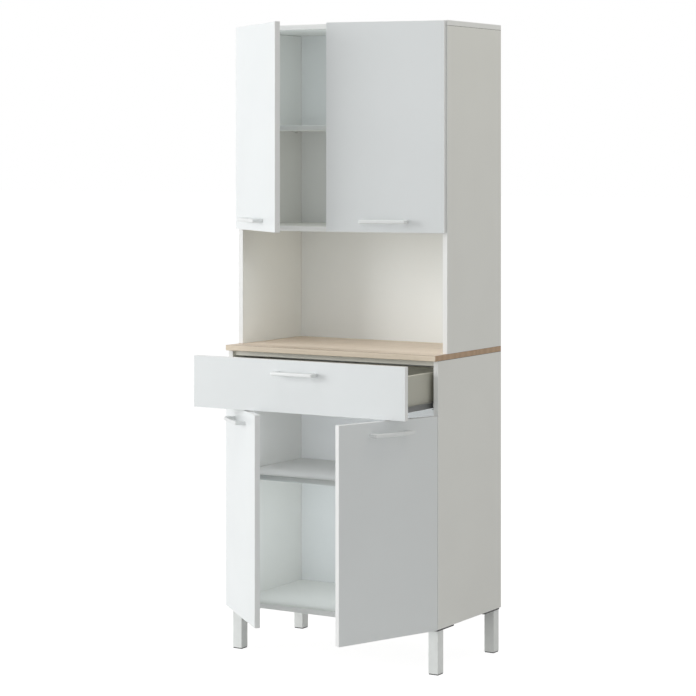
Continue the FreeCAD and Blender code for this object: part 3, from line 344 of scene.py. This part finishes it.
# %% [markdown]
# ### White boards
# Melamine foil is pressed onto chipboard with a fine grained plate, so it is satin and never quite even.
# A flat white would look like plastic sheet. A wide faint clouding breaks the colour, and a pattern of
# about half a millimetre roughens the highlight. The fronts are a cooler, smoother white than the
# carcass, and the thin strip glued round an edge is a touch brighter and shinier than either. The
# shelves' strip and the front rail are greyed as painted shade.

# %% Melamine recipes
def melamine(name, colour, roughness, relief=12e-6, grain=1500.0, cloud=0.012):
    """Satin foil: faint clouds, a pressed grain and an uneven sheen."""
    made, tree, shader = new_finish(name, colour, roughness)
    place = metres(tree)
    clouds = noise(tree, place, 3.5, detail=4.0)
    dull = tuple(c * (1 - 2 * cloud) for c in colour)
    tint = ramp(tree, clouds, dull, colour, 0.3, 0.7)
    tree.links.new(tint, shader.inputs["Base Color"])
    pressed = noise(tree, place, grain, detail=2.0)
    sheen = ramp(tree, noise(tree, place, 9.0, detail=3.0), roughness - 0.04, roughness + 0.05, 0.3, 0.7)
    tree.links.new(sheen, shader.inputs["Roughness"])
    bump(tree, shader, pressed, relief)
    return made


CARCASS_WHITE = (0.868, 0.872, 0.835)
FRONT_WHITE = (0.846, 0.877, 0.884)
board_face = melamine("white board", CARCASS_WHITE, 0.46)
board_band = melamine("white board edge strip", (0.925, 0.935, 0.925), 0.36, relief=5e-6, grain=900.0)
front_face = melamine("white front", FRONT_WHITE, 0.34, relief=8e-6)
front_band = melamine("white front edge strip", (0.905, 0.915, 0.912), 0.32, 4e-6, 900.0)
# the shelves' edge strip is white; it is greyed here as painted shade inside the cupboard and the base
shelf_band_painted_shade = melamine("shelf edge strip greyed as painted shade", (0.690, 0.705, 0.685), 0.42, 5e-6, 900.0)
drawer_face = melamine("greige drawer board", (0.530, 0.525, 0.455), 0.5)
# the front rail is white board; its colour is dimmed and warmed as painted shade from the worktop's
# overhang
rail_painted_shade = melamine("pale greige rail", (0.740, 0.735, 0.670), 0.5)
# painted shade, with a little dust: the dark groove where two boards meet
joint_shade_line = melamine("painted shade where two boards meet", (0.190, 0.180, 0.160), 0.7)
drawer_band = melamine("greige edge strip", (0.760, 0.750, 0.660), 0.45, relief=5e-6, grain=900.0)
print("foils:", [m.name for m in (board_face, front_face, drawer_face)])

# %% [markdown]
# ### Chipboard
# Where no strip is glued, a sawn edge shows pressed wood chips: small flakes in several browns. Voronoi
# cells are the natural way to draw flakes, with a finer noise between them as dust.

# %% Chipboard recipe
FLAKES, DUST = 420.0, 2200.0       # per metre
FLAKE_DEPTH = 0.3 * MM

raw_chip, tree, shader = new_finish("raw chipboard", (0.5, 0.37, 0.23), 0.85)
place = metres(tree)
flakes = add_node(tree, "ShaderNodeTexVoronoi", Vector=place, Scale=FLAKES, Randomness=1.0)
tone = add_node(tree, "ShaderNodeSeparateColor", Color=flakes.outputs["Color"]).outputs["Red"]
chips = ramp(tree, tone, (0.36, 0.24, 0.13), (0.68, 0.52, 0.34), 0.1, 0.9)
dust = ramp(tree, noise(tree, place, DUST, detail=2.0), (0.3, 0.2, 0.11), (0.72, 0.57, 0.39))
tree.links.new(blend(tree, 0.35, chips, dust), shader.inputs["Base Color"])
bump(tree, shader, flakes.outputs["Distance"], FLAKE_DEPTH, 0.6)
print("chipboard:", round(FLAKES), "flakes per metre")

# %% [markdown]
# ### Oak worktop
# The worktop wears an oak print: long grain along its length, a few wide arches, and short dark pores.
# The grain is noise pulled out along X. The arches are bands bent by a slow noise. The pores are a
# much finer noise, cut so that only its peaks stay. The colour drifts a little from back to front.

# %% Oak recipe
def oak(name, light, dark, pore, roughness=0.5):
    """Oak decor with its grain along X."""
    made, tree, shader = new_finish(name, light, roughness)
    bent = noise(tree, metres(tree, (1.1, 5.0, 5.0)), 1.0, detail=2.0)
    wide = add_node(tree, "ShaderNodeTexWave", {"wave_type": "BANDS", "bands_direction": "Y"},
                    Vector=metres(tree, (0.35, 6.0, 6.0)), Scale=1.6, Distortion=7.0,
                    Detail=3.0, Detail_Scale=0.9, Detail_Roughness=0.5).outputs["Fac"]
    long_grain = noise(tree, metres(tree, (2.2, 70.0, 70.0)), 1.0, detail=6.0, roughness=0.62)
    fine_grain = noise(tree, metres(tree, (9.0, 420.0, 420.0)), 1.0, detail=3.0)
    grain = blend(tree, 0.5, ramp(tree, long_grain, 0.0, 1.0, 0.32, 0.68),
                  ramp(tree, fine_grain, 0.0, 1.0, 0.3, 0.7))
    arches = blend(tree, 0.38, grain, ramp(tree, wide, 0.0, 1.0, 0.1, 0.9))
    drift = blend(tree, 0.22, arches, ramp(tree, bent, 0.0, 1.0, 0.35, 0.65))
    wood = blend(tree, drift, dark, light)
    specks = noise(tree, metres(tree, (26.0, 900.0, 900.0)), 1.0, detail=2.0)
    streaked = blend(tree, ramp(tree, specks, 0.0, 1.0, 0.62, 0.72), wood, pore)
    tree.links.new(blend(tree, 0.55, wood, streaked), shader.inputs["Base Color"])
    bump(tree, shader, grain, 30e-6, 0.6)
    return made


oak_top = oak("pale oak top", (0.930, 0.803, 0.668), (0.672, 0.548, 0.430), (0.40, 0.29, 0.20))
oak_front = oak("pale oak front strip", (0.868, 0.762, 0.618), (0.690, 0.580, 0.446), (0.42, 0.32, 0.22))
oak_side = oak("brown oak side strip", (0.560, 0.380, 0.240), (0.400, 0.260, 0.150), (0.25, 0.16, 0.09))
oak_line = oak("glue line of the side strip", (0.170, 0.100, 0.060), (0.110, 0.060, 0.035),
               (0.05, 0.03, 0.02))
print("oak:", ", ".join(m.name for m in (oak_top, oak_front, oak_side, oak_line)))

# %% [markdown]
# ### Hardboard
# The back panels are thin hardboard: white lacquer inside, and the raw brown sheet with its woven screen
# mark outside. The screen mark is two waves, one across and one upright, multiplied together.

# %% Hardboard recipes
back_white = melamine("lacquered hardboard", (0.835, 0.850, 0.835), 0.5, relief=6e-6, grain=700.0)
back_brown, tree, shader = new_finish("raw hardboard", (0.30, 0.19, 0.11), 0.72)
place = metres(tree)
across, upright = [add_node(tree, "ShaderNodeTexWave", {"bands_direction": axis}, Vector=place,
                            Scale=110.0).outputs["Fac"] for axis in ("X", "Z")]
screen = blend(tree, 1.0, across, upright, "MULTIPLY")
fibre = ramp(tree, noise(tree, metres(tree, (240.0, 1.0, 160.0)), 1.0, detail=4.0),
             (0.25, 0.155, 0.085), (0.37, 0.245, 0.15), 0.3, 0.7)
clouds = ramp(tree, noise(tree, place, 6.0), (0.24, 0.15, 0.085), (0.36, 0.24, 0.145))
tree.links.new(blend(tree, 0.3, fibre, clouds), shader.inputs["Base Color"])
bump(tree, shader, screen, 0.12 * MM, 0.7)
print("hardboard:", back_white.name, "inside,", back_brown.name, "outside")

# %% [markdown]
# ### Metals, nylon and plastic
# The handles are satin silver, the hinges nickel, the screws zinc, and the runners and legs are
# lacquered steel. Metal shows what surrounds it, so its own pattern sits mostly in the roughness: long
# fine scratches on a brushed bar, a soft mottle on plated steel, a pebbled skin on lacquer. The beech of
# the dowels is the oak recipe in other colours.

# %% Metal and plastic recipes
def metal(name, colour, roughness, stretch=(300.0, 300.0, 300.0), spread=0.08, attribute=None, bare=1.0):
    """Bare or plated metal with an uneven polish. Silver lacquer is only a small part bare metal."""
    made, tree, shader = new_finish(name, colour, roughness, metallic=bare)
    marks = noise(tree, metres(tree, stretch, attribute), 1.0, detail=3.0)
    polish = ramp(tree, marks, roughness - spread, roughness + spread, 0.3, 0.7)
    tree.links.new(polish, shader.inputs["Roughness"])
    dark = tuple(c * 0.93 for c in colour)
    tree.links.new(ramp(tree, marks, dark, colour, 0.3, 0.7), shader.inputs["Base Color"])
    bump(tree, shader, marks, 4e-6, 0.5)
    return made


def lacquer(name, colour, roughness, relief=10e-6, pebbles=900.0):
    """Paint, nylon or moulded plastic with a pebbled skin."""
    made, tree, shader = new_finish(name, colour, roughness)
    place = metres(tree)
    skin = noise(tree, place, pebbles, detail=2.0)
    bump(tree, shader, skin, relief)
    shade = tuple(c * 0.95 for c in colour)
    tint = ramp(tree, noise(tree, place, 25.0), shade, colour, 0.3, 0.7)
    tree.links.new(tint, shader.inputs["Base Color"])
    sheen = ramp(tree, skin, roughness - 0.05, roughness + 0.06, 0.3, 0.7)
    tree.links.new(sheen, shader.inputs["Roughness"])
    return made


handle_satin = metal("satin silver handle", (0.84, 0.86, 0.86), 0.42, (18.0, 1500.0, 1500.0), 0.07,
                     attribute="own", bare=0.12)
hinge_nickel = metal("nickel-plated steel", (0.70, 0.69, 0.66), 0.28, spread=0.025)
screw_zinc = metal("zinc screw", (0.74, 0.74, 0.72), 0.32, (900.0, 900.0, 900.0))
pin_steel = metal("hinge pin steel", (0.62, 0.62, 0.61), 0.24)
runner_grey = lacquer("lacquered runner", (0.200, 0.205, 0.200), 0.42)
leg_silver = lacquer("silver-white leg lacquer", (0.912, 0.938, 0.924), 0.34, relief=6e-6)
black_skin = lacquer("moulded black plastic", (0.028, 0.028, 0.029), 0.45)
nylon_white = lacquer("white nylon", (0.84, 0.84, 0.80), 0.38, relief=4e-6)
beech = oak("beech dowel", (0.74, 0.58, 0.40), (0.62, 0.45, 0.28), (0.5, 0.36, 0.22), 0.7)
small_parts = (handle_satin, hinge_nickel, screw_zinc, pin_steel, runner_grey, leg_silver, black_skin,
               nylon_white, beech)
print("small parts:", ", ".join(m.name for m in small_parts))

# %% [markdown]
# ## Closed and open
# The cabinet is shown with its doors ajar, so a door's mesh is turned in space. A board is far easier
# to dress when it lies square. The joint says how far the rest pose is from closed, so each door piece
# is closed first, worked on, and swung back at the end. What it looked like closed is kept as an
# attribute called "own", and brushed metal reads that, so its scratches run along the bar.

# %% How far each body is open at rest
swing = {body: Matrix.Identity(4) for body in frame["bodies"]}
for joint in frame["joints"]:
    if joint["child"].endswith("_door"):
        hinge_line = Matrix.Translation(Vector(joint["pos_m"]))
        turn = Matrix.Rotation(-radians(joint["range_deg"][0]), 4, Vector(joint["axis"]))
        swing[joint["child"]] = hinge_line @ turn @ hinge_line.inverted()
        print(joint["child"], "stands open by", -joint["range_deg"][0], "degrees")

# %% [markdown]
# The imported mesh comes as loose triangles. A bevel needs whole faces, so a copy is welded, and triangles
# that lie flat together are dissolved into one face. The copy then stands for the CAD node.

# %% From a CAD node to a piece and back
SAME_POINT = 0.02 * MM
FLAT_TURN = radians(0.6)           # triangles that turn less than this are one face


def whole(node):
    """A CAD node as a closed bmesh, square to the axes, and the body it rides on."""
    body = frame["nodes"][node]["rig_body"]
    mesh = bmesh.new()
    mesh.from_mesh(frame["nodes"][node].data)
    bmesh.ops.remove_doubles(mesh, verts=mesh.verts[:], dist=SAME_POINT)
    mesh.transform(swing[body].inverted())
    bmesh.ops.dissolve_limit(mesh, angle_limit=FLAT_TURN, verts=mesh.verts[:], edges=mesh.edges[:])
    mesh.normal_update()
    return mesh, body


def settle(mesh, name, body, finishes, node=None):
    """A finished piece: its closed shape kept as "own", swung open, painted, and riding on its body."""
    own = mesh.verts.layers.float_vector.new("own")
    for vertex in mesh.verts:
        vertex[own] = vertex.co
    mesh.transform(swing[body])
    data = bpy.data.meshes.new(name)
    mesh.to_mesh(data)
    mesh.free()
    for paint in finishes:
        data.materials.append(paint)
    piece = bpy.data.objects.new(name, data)
    bpy.context.scene.collection.objects.link(piece)
    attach(piece, body)
    if node:
        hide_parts(node)
    return piece


def corners(mesh):
    """Lowest and highest corner of a bmesh."""
    return [Vector([pick(v.co[i] for v in mesh.verts) for i in range(3)]) for pick in (min, max)]


print("a board such as base_bottom has", len(whole("base_bottom")[0].faces), "whole faces")

# %% [markdown]
# ## Boards
# A board is a flat slab with a strip glued round its edges and its arrises scraped, so no edge is razor
# sharp and each catches a thin line of light. A bevel of just under a millimetre on the long edges gives
# that line. Faces are then sorted by where they point: the two broad ones get the foil, the outline gets
# the strip, and bores, grooves and edges that nobody sees when it stands get raw chipboard. Where a
# board meets another, the arris is painted dark, as the fine line of shadow that such a joint shows.

# %% Dress one board
ROUNDING = 0.8 * MM
ARRIS_LENGTH, ARRIS_TURN = 9 * MM, radians(60)   # shorter or blunter edges belong to bores and grooves
STRAIGHT, NEAR, SLANTED = 0.95, 0.9, 0.4         # cosines: how squarely a face points a given way
OUTLINE_DEPTH = 1.6                              # in roundings; a face deeper in isn't on the outline
BORE_FACE = 1e-4                                 # square metres; a smaller raw face is part of a bore
FACE, BAND, CHIP, LINE, FRONT_EDGE = range(5)    # the order of a board's finishes


def dress_board(node, face, band, raw=(), rounding=ROUNDING, joint=(), line=joint_shade_line):
    """A board with rounded arrises: foil, strip, chipboard, and a painted shade line where it meets
    another.
    """
    mesh, body = whole(node)
    low, high = corners(mesh)
    broad = max(mesh.faces, key=lambda f: f.calc_area()).normal.copy()
    arrises = [e for e in mesh.edges if e.is_manifold and e.calc_length() > ARRIS_LENGTH
               and e.calc_face_angle(0.0) > ARRIS_TURN]
    bmesh.ops.bevel(mesh, geom=arrises, offset=rounding, offset_type="OFFSET", segments=2, profile=0.5,
                    affect="EDGES", clamp_overlap=True, material=-1)
    mesh.normal_update()
    for f in mesh.faces:
        middle = f.calc_center_median()
        outline = min(min(middle[i] - low[i], high[i] - middle[i])
                      for i in range(3) if abs(broad[i]) < 0.5)
        f.smooth = False
        if abs(f.normal.dot(broad)) > STRAIGHT:
            f.material_index = FACE
        elif outline > OUTLINE_DEPTH * rounding or any(f.normal.dot(way) > NEAR for way in raw):
            f.material_index = CHIP
            f.smooth = f.calc_area() < BORE_FACE
        else:
            f.material_index = BAND
        # an arris where another board meets this one gets the painted shade of the joint's groove
        if any(SLANTED < f.normal.dot(way) < STRAIGHT for way in joint):
            f.material_index = LINE
    return settle(mesh, node + "_dressed", body, (face, band, raw_chip, line), node)


WHITE = (board_face, board_band, "white_board")
FRONT = (front_face, front_band, "white_front")
GREIGE = (drawer_face, drawer_band, "drawer_board")
# for each group: finish, ways that show chipboard, ways where another board meets it (painted shade line
# on that arris), nodes
BOARDS = [(WHITE, (REAR, UNDER, TOP), (TOP,),
           "base_side_left base_side_right hutch_side_left hutch_side_right"),
          (WHITE, (REAR,), (UNDER,), "hutch_top"),
          (WHITE, (REAR,), (), "hutch_floor base_bottom rear_rail"),
          # the shelves' edge strips carry painted shade
          ((board_face, shelf_band_painted_shade, "white_board"), (REAR,), (), "hutch_shelf base_shelf"),
          (FRONT, (), (),
           "drawer_front upper_left_door upper_right_door lower_left_door lower_right_door"),
          (GREIGE, (UNDER,), (), "drawer_side_left drawer_side_right drawer_back"),
          # the front rail wears painted shade from the worktop above it
          ((rail_painted_shade, rail_painted_shade, "white_board"), (REAR,), (), "front_rail")]
for (face, band, slot), raw, joint, names in BOARDS:
    for node in names.split():
        dress_board(node, face, band, raw, joint=joint)

# %% [markdown]
# The worktop's strip is browner at the sides than in front, and the glue line shows along its arrises
# at the sides only. So the front edge is painted last, over both.

# %% Worktop
worktop = dress_board("worktop", oak_top, oak_side, (REAR,), 1.2 * MM,
                      (TOP, UNDER), oak_line)
worktop.data.materials.append(oak_front)
for f in worktop.data.polygons:
    if f.normal.y < -0.5 and f.material_index in (BAND, LINE):
        f.material_index = FRONT_EDGE
print("worktop:", len(worktop.data.polygons), "faces in", len(worktop.data.materials), "finishes")

# %% [markdown]
# The back panels show their raw face behind the cabinet. The drawer's bottom is white on both faces,
# because its underside is seen when the lower doors stand open.

# %% Hardboard panels
for node in ("base_back_panel", "hutch_back_panel", "drawer_bottom"):
    mesh, body = whole(node)
    for f in mesh.faces:
        f.smooth = False
        f.material_index = int(f.normal.dot(REAR) > NEAR and node != "drawer_bottom")
    settle(mesh, node + "_dressed", body, (back_white, back_brown), node)
print("hardboard panels dressed: two back panels and the drawer's bottom")

# %% [markdown]
# A back panel keeps the whole frame square, so it is nailed to every board that it lies on, with a nail
# about every 12 cm. A nail's head is a flat cone with 12 flats round it, since there are many of them.

# %% Nails of the back panels
NAIL_STEP, NAIL_HEAD, NAIL_THICK = 0.12, 1.8 * MM, 0.8 * MM
NAIL_FLATS = 12
NAIL_OUT = 0.3 * MM                # how far behind the panel the middle of a head lies
FROM_EDGE, MID_BOARD = 3.5 * MM, 7 * MM          # in from the panel's edge, and down from a board's top
ROW_HALF = 0.28                    # half the length of a row that runs across
# for each back panel: its lowest and highest nail in metres, and the boards across that it is nailed to
NAILED = {"base_back_panel": (0.17, 0.86, ("base_bottom", "rear_rail")),
          "hutch_back_panel": (0.935, 1.825, ("hutch_floor",))}


def nail_row(mesh, start, end):
    """Flat nail heads at even steps along a line on the rear face."""
    steps = round((end - start).length / NAIL_STEP)
    for k in range(steps + 1):
        head = Matrix.Translation(start.lerp(end, k / steps)) @ Matrix.Rotation(radians(-90), 4, "X")
        bmesh.ops.create_cone(mesh, cap_ends=True, segments=NAIL_FLATS, radius1=NAIL_HEAD,
                              radius2=0.6 * NAIL_HEAD, depth=NAIL_THICK, matrix=head)


nails = bmesh.new()
for node, (low_z, high_z, boards) in NAILED.items():
    panel_low, panel_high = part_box(node)
    y = panel_high[1] + NAIL_OUT
    for x in (panel_low[0] + FROM_EDGE, panel_high[0] - FROM_EDGE):
        nail_row(nails, Vector((x, y, low_z)), Vector((x, y, high_z)))
    for board in boards:
        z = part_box(board)[1][2] - MID_BOARD
        nail_row(nails, Vector((-ROW_HALF, y, z)), Vector((ROW_HALF, y, z)))
print("nails:", len(nails.faces) // (NAIL_FLATS + 2), "heads of", round(2 * NAIL_HEAD / MM, 1), "mm")
cabinet = frame["nodes"]["base_back_panel"]["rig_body"]
settle(nails, "back_panel_nails", cabinet, (screw_zinc,))

# %% [markdown]
# ## Handles and other hardware
# A bow handle is one bent bar with soft edges. Its CAD shape is right, so the welded copy only
# needs smooth shading, with creases kept where two faces meet at more than 35 degrees.

# %% Handles
CREASE = radians(35.0)
handles = [node for node in frame["nodes"] if node.endswith("_handle")]
for node in handles:
    mesh, body = whole(node)
    for f in mesh.faces:
        f.smooth = True
    handle = settle(mesh, node + "_dressed", body, (handle_satin,), node)
    handle.data.set_sharp_from_angle(angle=CREASE)
print("handles dressed:", len(handles))

# %% [markdown]
# Legs, hinges, runners, rollers, screws and dowels have their true shape already, and little of them is
# seen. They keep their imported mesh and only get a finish. Hinge cups, pins and handle screws have a node
# for each door, so those are found by how their names end.

# %% Finishes for the rest of the hardware
PAINTS = [(leg_silver, "leg_front_left leg_front_right leg_rear_left leg_rear_right"),
          (black_skin, "leg_plates leg_glides"),
          (hinge_nickel, "hinge_arms hinge_plates"),
          (runner_grey, "cabinet_runners drawer_runners"),
          (nylon_white, "front_rollers rear_rollers"),
          (screw_zinc, "leg_screws hinge_plate_screws runner_screws cam_locks cam_bolts shelf_pins"),
          (beech, "wood_dowels")]
ENDINGS = {"_hinge_cups": hinge_nickel, "_hinge_pins": pin_steel, "_handle_screws": screw_zinc}
for ending, paint in ENDINGS.items():
    PAINTS.append((paint, " ".join(node for node in frame["nodes"] if node.endswith(ending))))
for paint, names in PAINTS:
    for node in names.split():
        data = frame["nodes"][node].data
        data.materials.clear()
        data.materials.append(paint)
print("CAD nodes painted:", sum(len(names.split()) for paint, names in PAINTS))
